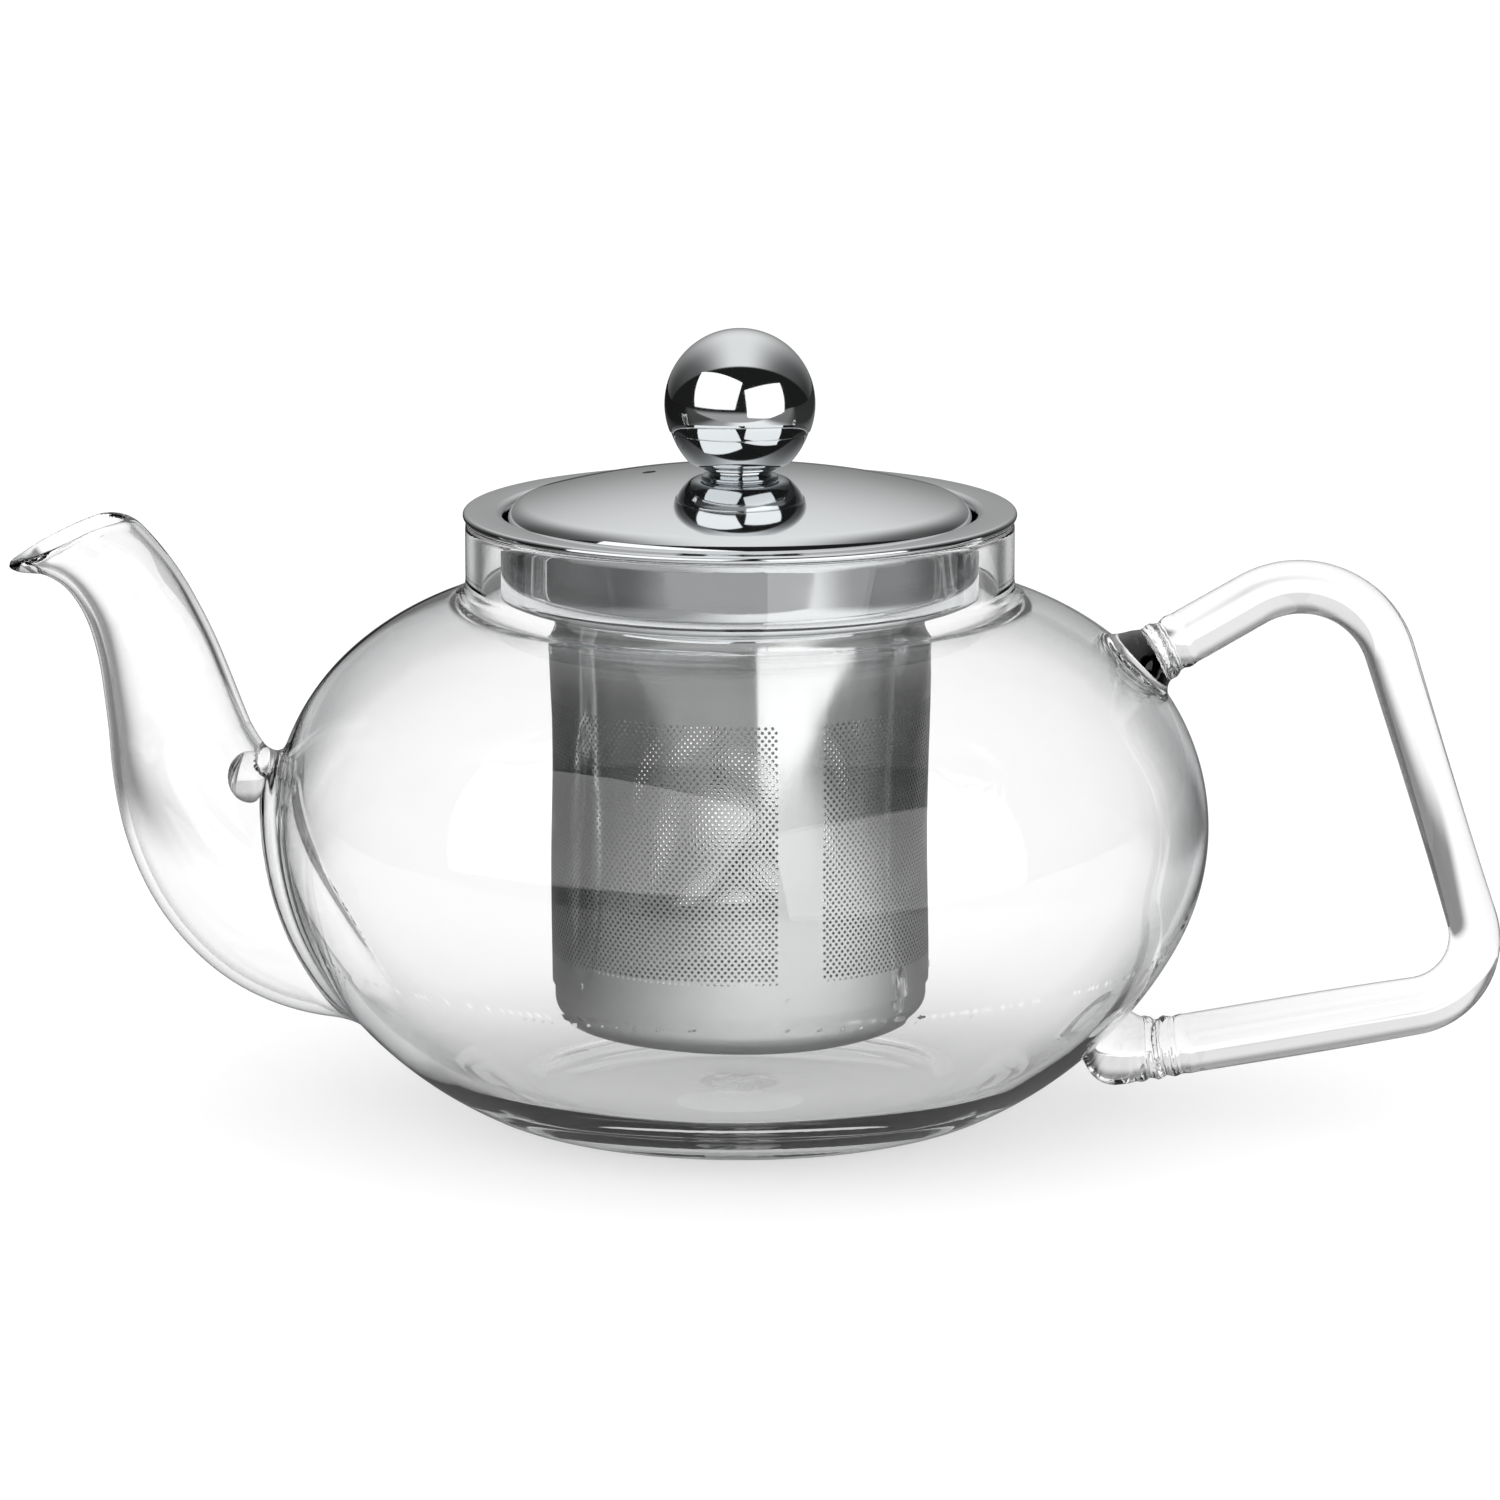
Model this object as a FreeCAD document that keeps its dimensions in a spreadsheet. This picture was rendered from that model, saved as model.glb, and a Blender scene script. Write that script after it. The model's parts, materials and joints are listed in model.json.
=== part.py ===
import FreeCAD, Part
import math
import os
import Sketcher

# Glass teapot: blown bowl with a spout and a rod handle, a lift-out steel infuser and a ball-knob lid.
# Frame: origin on the pot axis in the plane of the foot, +Z up, handle towards +X, spout towards -X.

doc = FreeCAD.newDocument("teapot")
sheet = doc.addObject("Spreadsheet::Sheet", "Sizes")

SIZES = {
    # glass bowl, outside profile
    "foot_radius": 38.4, "foot_corner": 3.0, "foot_join_radius": 40.8, "foot_join_height": 2.97,
    "punt_radius": 32.0, "punt_rise": 0.6,
    "lower_arc": 59.28, "lower_join_radius": 66.25, "lower_join_height": 27.85,
    "belly_arc": 34.41, "belly_centre_radius": 35.92, "belly_centre_height": 44.11,
    "shoulder_arc": 41.24, "shoulder_join_radius": 58.32, "shoulder_join_height": 70.23,
    "neck_base_radius": 42.3, "neck_base_height": 78.71, "neck_fillet": 1.6,
    "neck_radius": 41.0, "neck_foot_height": 80.1, "neck_top": 90.9,
    # glass thickness
    "bowl_wall": 2.0, "neck_wall": 2.3, "floor_height": 3.6, "floor_radius": 33.0,
    "spout_wall": 1.3, "seam_band": 0.9, "seam_height": 1.2,
    # handle rod
    "rod_radius": 4.0, "top_bend": 14.25, "corner_bend": 10.5, "rise_angle": 30.0,
    "grip_angle": 72.4, "return_angle": 9.6, "crest_reach": 83.7, "crest_height": 80.4,
    "grip_length": 42.8, "rise_length": 26.0, "return_length": 52.0,
    "top_weld_radius": 7.4, "top_weld_end": 4.6, "top_weld_length": 12.0,
    "bottom_weld_radius": 6.6, "bottom_weld_end": 4.7, "bottom_weld_length": 17.0,
    # infuser
    "sheet_metal": 0.5, "flange_radius": 41.35, "flange_underside": 90.95, "bead_radius": 0.6,
    "collar_turn": 0.9, "collar_radius": 35.7, "collar_foot": 80.0,
    "step_radius": 34.2, "step_height": 78.1, "step_foot_radius": 28.95, "step_foot_height": 76.6,
    "skirt_top": 75.5, "skirt_foot": 70.5,
    "basket_radius": 28.35, "wall_metal": 0.4, "wall_foot": 20.2, "wall_top": 75.4,
    "seam_width": 0.6, "seam_proud": 0.12, "seam_angle": -71.0,
    "cup_top": 25.5, "cup_corner": 3.2, "cup_floor": 14.5,
    "weld_dot": 0.6, "weld_proud": 0.12,
    # lid
    "dome_metal": 0.6, "dome_arc": 120.0, "dome_top": 98.0, "dome_edge": 34.76, "dome_round": 3.5,
    "dome_foot": 88.4, "screw_hole": 2.1,
    "vent_radius": 1.0, "vent_reach": 14.0, "vent_angle": 166.0,
    "skirt_base": 78.75, "skirt_crown": 90.2,
    # knob
    "ball_radius": 11.25, "ball_height": 108.07, "ball_metal": 0.6, "ball_seam": 104.1,
    "chin_arc": 12.6, "chin_radius": 8.2, "chin_height": 99.9, "chin_round": 1.6,
    "ball_foot": 6.0, "ball_base": 98.95,
    "neck_ring": 5.85, "neck_ring_height": 98.45, "neck_stem": 4.95,
    "bush_radius": 4.0, "bush_top": 105.5, "screw_radius": 2.0, "screw_tip": 104.6,
    "head_radius": 3.6, "head_height": 2.2, "washer_radius": 5.0, "washer_height": 0.8,
}

# Spout sections from inside the bowl to the mouth: centre x and z, tilt of the long axis from +X in
# degrees, and the outer radii in the plane of the spout and across it.
SPOUT_SECTIONS = [
    (-50.0, 32.0, 84.0, 17.2, 14.5),
    (-58.0, 32.3, 80.0, 17.2, 14.5),
    (-69.5, 35.3, 65.3, 16.6, 14.2),
    (-74.8, 38.5, 47.0, 15.0, 13.6),
    (-78.2, 42.5, 33.0, 14.0, 13.0),
    (-80.8, 47.3, 20.0, 13.0, 12.3),
    (-83.7, 55.1, 9.0, 11.1, 10.9),
    (-86.3, 67.5, 12.3, 9.3, 9.2),
    (-88.5, 74.7, 21.0, 8.45, 8.3),
    (-92.2, 81.3, 33.0, 7.7, 7.5),
    (-96.9, 87.3, 45.0, 7.5, 7.0),
    (-101.7, 89.5, 44.0, 9.4, 7.2),
]
MOUTH_POINT = (-92.5, 91.95)
MOUTH_SLOPE = 26.0

# Spot welds: angle about the axis in degrees and height.
UPPER_PAIR_ANGLES = [0.0, 6.2]
UPPER_PAIR_HEIGHTS = [74.4, 71.9]
UPPER_GROUPS = 4
UPPER_START = -87.3
LOWER_WELD_HEIGHT = 22.4
LOWER_WELDS = 5
LOWER_START = -75.0

for row, (alias, number) in enumerate(SIZES.items(), start=1):
    sheet.set("A%d" % row, alias)
    sheet.set("B%d" % row, str(number))
    sheet.setAlias("B%d" % row, alias)
doc.recompute()


class Dim:
    """A length that knows its value and the sheet expression that gives it."""

    def __init__(self, value, text):
        self.value = value
        self.text = text

    def _with(self, other, sign, value):
        text = other.text if isinstance(other, Dim) else repr(other)
        return Dim(value, "(%s %s %s)" % (self.text, sign, text))

    def __add__(self, other):
        return self._with(other, "+", self.value + amount(other))

    def __sub__(self, other):
        return self._with(other, "-", self.value - amount(other))

    def __mul__(self, other):
        return self._with(other, "*", self.value * amount(other))

    def __truediv__(self, other):
        return self._with(other, "/", self.value / amount(other))

    def root(self):
        return Dim(math.sqrt(self.value), "sqrt(%s)" % self.text)


def amount(item):
    return item.value if isinstance(item, Dim) else item


def size(alias):
    """The sheet's cell of that name."""
    return Dim(float(sheet.get(alias)), "Sizes." + alias)


def bind(obj, prop, dim):
    obj.setExpression(prop, dim.text)


# ---- sketch and body helpers ----

def origin_plane(body, role):
    for feature in body.Origin.OriginFeatures:
        if feature.Role == role:
            return feature
    raise ValueError("no plane " + role)


def arc_centre(start, end, radius, side):
    """Centre of the arc from start to end; side 1 puts it left of the way, -1 right of it."""
    middle = (start + end) * 0.5
    along = end - start
    reach = math.sqrt(max(radius * radius - along.Length ** 2 / 4.0, 0.0))
    left = FreeCAD.Vector(-along.y, along.x, 0)
    left.normalize()
    return middle + left * (reach * side)


def add_stretch(sketch, start, end, bend):
    """One edge of an outline: a line, or an arc given by (radius, side). Returns its two end numbers."""
    if bend is None:
        sketch.addGeometry(Part.LineSegment(start, end), False)
        return 1, 2
    radius, side = bend
    centre = arc_centre(start, end, amount(radius), side)
    first, last = (start, end) if side > 0 else (end, start)
    begin = math.atan2(first.y - centre.y, first.x - centre.x)
    finish = math.atan2(last.y - centre.y, last.x - centre.x)
    if finish < begin:
        finish += 2 * math.pi
    circle = Part.Circle(centre, FreeCAD.Vector(0, 0, 1), amount(radius))
    sketch.addGeometry(Part.ArcOfCircle(circle, begin, finish), False)
    return (1, 2) if side > 0 else (2, 1)


def pin_point(sketch, edge, end, point):
    """Hold one end of an edge at its place from the sketch's origin."""
    across, up = point
    for kind, dim in (("DistanceX", across), ("DistanceY", up)):
        value = amount(dim)
        if abs(value) < 1e-9:
            axis = -2 if kind == "DistanceX" else -1
            sketch.addConstraint(Sketcher.Constraint("PointOnObject", edge, end, axis))
            continue
        number = sketch.addConstraint(Sketcher.Constraint(kind, -1, 1, edge, end, value))
        if isinstance(dim, Dim):
            bind(sketch, "Constraints[%d]" % number, dim)


def draw_outline(sketch, outline, closed=True):
    """Draw an outline given as (across, up, bend), where bend describes the edge that follows."""
    points = [FreeCAD.Vector(amount(a), amount(b), 0) for a, b, _ in outline]
    count = len(outline) if closed else len(outline) - 1
    ends = []
    for i in range(count):
        ends.append(add_stretch(sketch, points[i], points[(i + 1) % len(points)], outline[i][2]))
    for i in range(count):
        following = (i + 1) % len(outline)
        if closed or i + 1 < count:
            joint = Sketcher.Constraint("Coincident", i, ends[i][1], following, ends[following][0])
            sketch.addConstraint(joint)
    for i in range(count):
        pin_point(sketch, i, ends[i][0], outline[i][:2])
        if outline[i][2] is not None:
            radius = outline[i][2][0]
            number = sketch.addConstraint(Sketcher.Constraint("Radius", i, amount(radius)))
            if isinstance(radius, Dim):
                bind(sketch, "Constraints[%d]" % number, radius)
    if not closed:
        pin_point(sketch, count - 1, ends[-1][1], outline[-1][:2])


def turned(name, outline):
    """A body turned about the pot axis from an outline of (radius, height, bend)."""
    body = doc.addObject("PartDesign::Body", name)
    body.Label = name
    sketch = body.newObject("Sketcher::SketchObject", name + "_profile")
    sketch.AttachmentSupport = (origin_plane(body, "XZ_Plane"), [""])
    sketch.MapMode = "FlatFace"
    draw_outline(sketch, outline)
    turn = body.newObject("PartDesign::Revolution", name + "_turn")
    turn.Profile = sketch
    turn.ReferenceAxis = (sketch, ["V_Axis"])
    turn.Angle = 360.0
    body.Tip = turn
    sketch.Visibility = False
    return body


def boolean(kind, name, base, tool):
    cut = doc.addObject(kind, name)
    cut.Label = name
    cut.Base = base
    cut.Tool = tool
    return cut


def fused(name, shapes):
    fuse = doc.addObject("Part::MultiFuse", name)
    fuse.Label = name
    fuse.Shapes = shapes
    return fuse


# ---- glass pot ----

def belly_direction(join_radius, join_height):
    across = (size(join_radius) - size("belly_centre_radius")) / size("belly_arc")
    up = (size(join_height) - size("belly_centre_height")) / size("belly_arc")
    return across, up


def bowl_outside(grow=0.0):
    """Outside of the bowl from the axis under the foot up to the neck, grown outwards by grow."""
    low = belly_direction("lower_join_radius", "lower_join_height")
    high = belly_direction("shoulder_join_radius", "shoulder_join_height")
    return [
        (size("foot_radius") + grow, Dim(0.0, "0"), (size("foot_corner"), 1)),
        (size("foot_join_radius") + grow, size("foot_join_height"), (size("lower_arc") + grow, 1)),
        (size("lower_join_radius") + low[0] * grow, size("lower_join_height") + low[1] * grow,
         (size("belly_arc") + grow, 1)),
        (size("shoulder_join_radius") + high[0] * grow, size("shoulder_join_height") + high[1] * grow,
         (size("shoulder_arc") + grow, 1)),
        (size("neck_base_radius") + grow, size("neck_base_height"), (size("neck_fillet"), -1)),
        (size("neck_radius") + grow, size("neck_foot_height"), None),
    ]


def bowl_envelope(name, grow=0.0):
    """The bowl as a solid with no hollow, used to trim what is fused to it."""
    closing = [
        (size("neck_radius") + grow, size("neck_top"), None),
        (0.0, size("neck_top"), None),
        (0.0, 0.0, None),
    ]
    return turned(name, bowl_outside(grow) + closing)


def bowl_glass():
    wall = size("bowl_wall")
    low = belly_direction("lower_join_radius", "lower_join_height")
    high = belly_direction("shoulder_join_radius", "shoulder_join_height")
    half = size("neck_wall") * 0.5
    shoulder = size("neck_top") - half
    inside = size("neck_radius") - size("neck_wall")
    outline = bowl_outside() + [
        (size("neck_radius"), shoulder, (half, 1)),
        (size("neck_radius") - half, size("neck_top"), (half, 1)),
        (inside, shoulder, None),
        (inside, size("neck_foot_height") - 0.7, (size("neck_fillet") + wall, 1)),
        (size("neck_base_radius") - 1.0, size("neck_base_height") - wall, (size("shoulder_arc") - wall, -1)),
        (size("shoulder_join_radius") - high[0] * wall, size("shoulder_join_height") - high[1] * wall,
         (size("belly_arc") - wall, -1)),
        (size("lower_join_radius") - low[0] * wall, size("lower_join_height") - low[1] * wall,
         (size("lower_arc") - wall, -1)),
        (size("floor_radius") + 7.0, size("floor_height") + 1.35, (size("foot_corner") * 5.0, -1)),
        (size("floor_radius"), size("floor_height"), None),
        (0.0, size("floor_height"), None),
        (0.0, size("punt_rise"), None),
        (size("punt_radius") - 6.0, size("punt_rise"), None),
        (size("punt_radius"), Dim(0.0, "0"), None),
    ]
    return turned("bowl_glass", outline)


def spout_loft(name, grow):
    """The spout's run as one loft through ellipses, with its radii changed by grow."""
    rings = []
    for i, (x, z, tilt, radius, half_width) in enumerate(SPOUT_SECTIONS):
        ring = doc.addObject("Part::Ellipse", "%s_ring_%d" % (name, i))
        ring.MajorRadius = radius
        ring.MinorRadius = half_width
        ring.Placement = FreeCAD.Placement(
            FreeCAD.Vector(x, 0, z), FreeCAD.Rotation(FreeCAD.Vector(0, 1, 0), -tilt))
        bind(ring, "MajorRadius", Dim(radius, "%r" % radius) + grow)
        bind(ring, "MinorRadius", Dim(half_width, "%r" % half_width) + grow)
        rings.append(ring)
    loft = doc.addObject("Part::Loft", name)
    loft.Sections = rings
    loft.Solid = True
    loft.Ruled = False
    return loft


def mouth_block(name):
    """The space above the mouth's plane."""
    reach = 60.0
    block = doc.addObject("Part::Box", name)
    block.Length = reach
    block.Width = reach
    block.Height = reach
    turn = FreeCAD.Rotation(FreeCAD.Vector(0, 1, 0), -MOUTH_SLOPE)
    corner = FreeCAD.Vector(MOUTH_POINT[0], 0, MOUTH_POINT[1])
    offset = turn.multVec(FreeCAD.Vector(-reach * 0.6, -reach * 0.5, 0))
    block.Placement = FreeCAD.Placement(corner + offset, turn)
    return block


def make_spout(envelope):
    outer = spout_loft("spout_outer", Dim(0.0, "0"))
    inner = spout_loft("spout_channel", Dim(0.0, "0") - size("spout_wall"))
    tube = boolean("Part::Cut", "spout_tube", outer, inner)
    open_tube = boolean("Part::Cut", "spout_open", tube, mouth_block("mouth_block"))
    spout = boolean("Part::Cut", "pot_spout", open_tube, envelope)
    return spout, outer, inner


def make_spout_seam(outer, envelope):
    band = spout_loft("seam_outer", size("seam_band"))
    near = boolean("Part::Common", "seam_near", band, bowl_envelope("seam_reach", size("seam_height")))
    ring = boolean("Part::Cut", "seam_ring", near, outer)
    return boolean("Part::Cut", "spout_seam", ring, envelope)


def handle_turns():
    """The ends and tangent points of the handle's centreline in the X-Z plane, and its bend radii."""
    rise = math.radians(float(sheet.get("rise_angle")))
    grip = math.radians(float(sheet.get("grip_angle")))
    back = math.radians(float(sheet.get("return_angle")))
    bend = float(sheet.get("top_bend"))
    corner = float(sheet.get("corner_bend"))
    hub = FreeCAD.Vector(float(sheet.get("crest_reach")), float(sheet.get("crest_height")) - bend, 0)
    top_in = hub + FreeCAD.Vector(-math.sin(rise), math.cos(rise), 0) * bend
    top_out = hub + FreeCAD.Vector(math.sin(grip), math.cos(grip), 0) * bend
    start = top_in - FreeCAD.Vector(math.cos(rise), math.sin(rise), 0) * float(sheet.get("rise_length"))
    down = FreeCAD.Vector(math.cos(grip), -math.sin(grip), 0)
    low_in = top_out + down * float(sheet.get("grip_length"))
    low_hub = low_in - FreeCAD.Vector(math.sin(grip), math.cos(grip), 0) * corner
    low_out = low_hub + FreeCAD.Vector(math.sin(back), -math.cos(back), 0) * corner
    end = low_out - FreeCAD.Vector(math.cos(back), math.sin(back), 0) * float(sheet.get("return_length"))
    return start, top_in, top_out, low_in, low_out, end


def stand_up(obj, spot, angle):
    """Place a round solid on the X-Z plane at spot, with its axis at angle above +X."""
    turn = FreeCAD.Rotation(FreeCAD.Vector(0, 1, 0), 90.0 - angle)
    obj.Placement = FreeCAD.Placement(FreeCAD.Vector(spot.x, 0, spot.y), turn)


def make_handle(envelope):
    start, top_in, top_out, low_in, low_out, end = handle_turns()
    path = doc.addObject("Sketcher::SketchObject", "handle_path")
    path.Placement = FreeCAD.Placement(
        FreeCAD.Vector(0, 0, 0), FreeCAD.Rotation(FreeCAD.Vector(1, 0, 0), 90.0))
    bends = [None, (size("top_bend"), -1), None, (size("corner_bend"), -1), None, None]
    stops = [start, top_in, top_out, low_in, low_out, end]
    draw_outline(path, [(p.x, p.y, bend) for p, bend in zip(stops, bends)], closed=False)
    ring = doc.addObject("Part::Circle", "handle_ring")
    bind(ring, "Radius", size("rod_radius"))
    stand_up(ring, start, float(sheet.get("rise_angle")))
    sweep = doc.addObject("Part::Sweep", "handle_sweep")
    sweep.Sections = [ring]
    sweep.Spine = (path, ["Edge%d" % (i + 1) for i in range(5)])
    sweep.Solid = True
    sweep.Frenet = False
    return boolean("Part::Cut", "handle_rod", sweep, envelope)


def make_weld(name, prefix, spot, angle, rod, envelope):
    """A fused collar of clear glass where one end of the rod meets the bowl."""
    cone = doc.addObject("Part::Cone", name + "_cone")
    bind(cone, "Radius1", size(prefix + "_radius"))
    bind(cone, "Radius2", size(prefix + "_end"))
    bind(cone, "Height", size(prefix + "_length"))
    stand_up(cone, spot, angle)
    clear = boolean("Part::Cut", name + "_clear", cone, envelope)
    return boolean("Part::Cut", name, clear, rod)


def make_pot():
    envelope = bowl_envelope("bowl_envelope")
    glass = bowl_glass()
    spout, outer, channel = make_spout(envelope)
    bowl = boolean("Part::Cut", "pot_bowl", glass, channel)
    seam = make_spout_seam(outer, envelope)
    rod = make_handle(envelope)
    start, _, _, _, _, end = handle_turns()
    rise = float(sheet.get("rise_angle"))
    back = float(sheet.get("return_angle"))
    top = make_weld("handle_top_weld", "top_weld", start, rise, rod, envelope)
    bottom = make_weld("handle_bottom_weld", "bottom_weld", end, back, rod, envelope)
    return [bowl, spout, seam, rod, top, bottom]


# ---- infuser ----

def make_rim():
    """Spun rim: flange with a hem, collar, the step that carries the lid and the skirt inside the wall."""
    metal = size("sheet_metal")
    bead = size("bead_radius")
    under = size("flange_underside")
    top = under + bead * 2.0
    turn = size("collar_turn")
    collar = size("collar_radius")
    skirt = size("basket_radius") - size("wall_metal")
    outline = [
        (skirt, size("skirt_foot"), None),
        (skirt, size("skirt_top"), (Dim(1.0, "1.0"), -1)),
        (size("step_foot_radius"), size("step_foot_height"), None),
        (size("step_radius"), size("step_height"), (metal * 4.0, 1)),
        (collar, size("collar_foot"), None),
        (collar, top - metal - turn, (turn, -1)),
        (collar + turn, top - metal, None),
        (size("flange_radius") - bead * 1.9, top - metal, None),
        (size("flange_radius") - bead, under, (bead, 1)),
        (size("flange_radius"), under + bead, (bead, 1)),
        (size("flange_radius") - bead, top, None),
        (collar + turn, top, (turn + metal, 1)),
        (collar - metal, top - metal - turn, None),
        (collar - metal, size("collar_foot"), (metal * 3.0, -1)),
        (size("step_radius") - 0.1, size("step_height") + metal, None),
        (size("step_foot_radius") - 0.1, size("step_foot_height") + metal, (Dim(1.5, "1.5"), 1)),
        (skirt - metal, size("skirt_top"), None),
        (skirt - metal, size("skirt_foot"), None),
    ]
    return turned("infuser_rim", outline)


def seam_block(name, reach, spare):
    """A thin upright block on the seam's angle, out to reach, longer than the wall by spare all round."""
    block = doc.addObject("Part::Box", name)
    inside = size("basket_radius") - size("wall_metal") - spare
    bind(block, "Length", reach - inside)
    bind(block, "Width", size("seam_width"))
    bind(block, "Height", size("wall_top") - size("wall_foot") + spare * 2.0)
    turn = FreeCAD.Rotation(FreeCAD.Vector(0, 0, 1), float(sheet.get("seam_angle")))
    corner = turn.multVec(FreeCAD.Vector(inside.value, -size("seam_width").value / 2, 0))
    corner.z = float(sheet.get("wall_foot")) - amount(spare)
    block.Placement = FreeCAD.Placement(corner, turn)
    return block


def make_basket_wall():
    inside = size("basket_radius") - size("wall_metal")
    sleeve = turned("wall_sleeve", [
        (inside, size("wall_foot"), None),
        (size("basket_radius"), size("wall_foot"), None),
        (size("basket_radius"), size("wall_top"), None),
        (inside, size("wall_top"), None),
    ])
    spare = size("wall_metal")
    slot = seam_block("seam_slot", size("basket_radius") + spare, spare)
    wall = boolean("Part::Cut", "infuser_wall", sleeve, slot)
    bead = seam_block("seam_bead", size("basket_radius") + size("seam_proud"), spare * 0.0)
    bore = doc.addObject("Part::Cylinder", "wall_bore")
    bind(bore, "Radius", inside)
    bind(bore, "Height", size("wall_top"))
    seam = boolean("Part::Cut", "infuser_seam", bead, bore)
    return wall, seam


def make_base_cup():
    metal = size("wall_metal")
    side = size("basket_radius") - metal
    corner = size("cup_corner")
    floor = size("cup_floor")
    outline = [
        (0.0, floor, None),
        (side - corner, floor, (corner, 1)),
        (side, floor + corner, None),
        (side, size("cup_top"), None),
        (side - metal, size("cup_top"), None),
        (side - metal, floor + corner, (corner - metal, -1)),
        (side - corner, floor + metal, None),
        (0.0, floor + metal, None),
    ]
    return turned("infuser_base", outline)


def weld_dots(name, places):
    """Spot welds as low discs on the outside of the basket wall."""
    dots = []
    for i, (angle, height) in enumerate(places):
        dot = doc.addObject("Part::Cylinder", "%s_%d" % (name, i))
        bind(dot, "Radius", size("weld_dot"))
        bind(dot, "Height", size("basket_radius") + size("weld_proud"))
        turn = FreeCAD.Rotation(FreeCAD.Vector(0, 0, 1), angle)
        lean = FreeCAD.Rotation(FreeCAD.Vector(0, 1, 0), 90)
        dot.Placement = FreeCAD.Placement(FreeCAD.Vector(0, 0, height), turn.multiply(lean))
        dots.append(dot)
    core = doc.addObject("Part::Cylinder", name + "_core")
    bind(core, "Radius", size("basket_radius"))
    bind(core, "Height", size("neck_top"))
    return boolean("Part::Cut", name, fused(name + "_all", dots), core)


def upper_weld_places():
    turn = 360.0 / UPPER_GROUPS
    starts = [UPPER_START + turn * i for i in range(UPPER_GROUPS)]
    return [(s + a, z) for s in starts for a in UPPER_PAIR_ANGLES for z in UPPER_PAIR_HEIGHTS]


def lower_weld_places():
    turn = 360.0 / LOWER_WELDS
    return [(LOWER_START + turn * i, LOWER_WELD_HEIGHT) for i in range(LOWER_WELDS)]


def make_infuser():
    wall, seam = make_basket_wall()
    upper = weld_dots("upper_spot_welds", upper_weld_places())
    lower = weld_dots("lower_spot_welds", lower_weld_places())
    return [make_rim(), wall, seam, make_base_cup(), upper, lower]


# ---- lid ----

def dome_height(radius, depth=0.0):
    """Height of the dome's surface at a radius, depth below its top face."""
    arc = size("dome_arc") - depth
    centre = size("dome_top") - size("dome_arc")
    return centre + (arc * arc - radius * radius).root()


def shoulder_start(depth=0.0):
    """Where the dome's top arc runs into the rounded shoulder, depth below the top face."""
    arc = size("dome_arc")
    centre = size("dome_top") - arc
    reach = size("dome_edge") - size("dome_round")
    hub = arc - size("dome_round")
    share = (arc - depth) / hub
    return reach * share, centre + (hub * hub - reach * reach).root() * share


def shoulder_height():
    """Height where the shoulder turns into the upright side."""
    hub = size("dome_arc") - size("dome_round")
    reach = size("dome_edge") - size("dome_round")
    return size("dome_top") - size("dome_arc") + (hub * hub - reach * reach).root()


def make_dome():
    metal = size("dome_metal")
    arc = size("dome_arc")
    edge = size("dome_edge")
    hole = size("screw_hole")
    shoulder = size("dome_round")
    side_top = shoulder_height()
    outline = [
        (hole, dome_height(hole, metal), (arc - metal, -1)),
        (*shoulder_start(metal), (shoulder - metal, -1)),
        (edge - metal, side_top, None),
        (edge - metal, size("dome_foot"), None),
        (edge, size("dome_foot"), None),
        (edge, side_top, (shoulder, 1)),
        (*shoulder_start(), (arc, 1)),
        (hole, dome_height(hole), None),
    ]
    body = turned("dome_disc", outline)
    vent = doc.addObject("Part::Cylinder", "vent_drill")
    bind(vent, "Radius", size("vent_radius"))
    bind(vent, "Height", size("dome_arc"))
    turn = FreeCAD.Rotation(FreeCAD.Vector(0, 0, 1), float(sheet.get("vent_angle")))
    spot = turn.multVec(FreeCAD.Vector(float(sheet.get("vent_reach")), 0, 0))
    spot.z = float(sheet.get("dome_foot"))
    vent.Placement = FreeCAD.Placement(spot, FreeCAD.Rotation())
    return boolean("Part::Cut", "lid_dome", body, vent)


def make_lid_skirt():
    """The plain ring inside the dome's side that stands on the infuser's step."""
    outer = size("dome_edge") - size("dome_metal")
    inner = outer - size("sheet_metal")
    outline = [
        (inner, size("skirt_base"), None),
        (outer, size("skirt_base"), None),
        (outer, size("skirt_crown"), None),
        (inner, size("skirt_crown"), None),
    ]
    return turned("lid_skirt", outline)


def make_upper_shell():
    ball = size("ball_radius")
    metal = size("ball_metal")
    centre = size("ball_height")
    rise = centre - size("ball_seam")
    inner = ball - metal
    outline = [
        ((ball * ball - rise * rise).root(), size("ball_seam"), (ball, 1)),
        (ball, centre, (ball, 1)),
        (0.0, centre + ball, None),
        (0.0, centre + inner, (inner, -1)),
        (inner, centre, (inner, -1)),
        ((inner * inner - rise * rise).root(), size("ball_seam"), None),
    ]
    return turned("knob_upper_shell", outline)


def make_lower_shell():
    ball = size("ball_radius")
    metal = size("ball_metal")
    rise = size("ball_height") - size("ball_seam")
    inner = ball - metal
    chin = size("chin_radius")
    outline = [
        (size("screw_hole"), size("ball_base"), None),
        (size("ball_foot"), size("ball_base"), (size("chin_round") * 1.6, 1)),
        (chin, size("chin_height"), (size("chin_arc"), 1)),
        ((ball * ball - rise * rise).root(), size("ball_seam"), None),
        ((inner * inner - rise * rise).root(), size("ball_seam"), (size("chin_arc") - metal, -1)),
        (chin - 0.3, size("chin_height") + metal, (size("chin_round") * 1.3, -1)),
        (size("ball_foot"), size("ball_base") + metal, None),
        (size("screw_hole"), size("ball_base") + metal, None),
    ]
    return turned("knob_lower_shell", outline)


def make_knob_neck():
    hole = size("screw_hole")
    stem = size("neck_stem")
    ring = size("neck_ring")
    outline = [
        (hole, dome_height(hole), (size("dome_arc"), -1)),
        (stem, dome_height(stem), None),
        (stem, size("neck_ring_height"), None),
        (ring, size("neck_ring_height"), None),
        (ring, size("ball_base"), None),
        (hole, size("ball_base"), None),
    ]
    return turned("knob_neck", outline)


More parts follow.
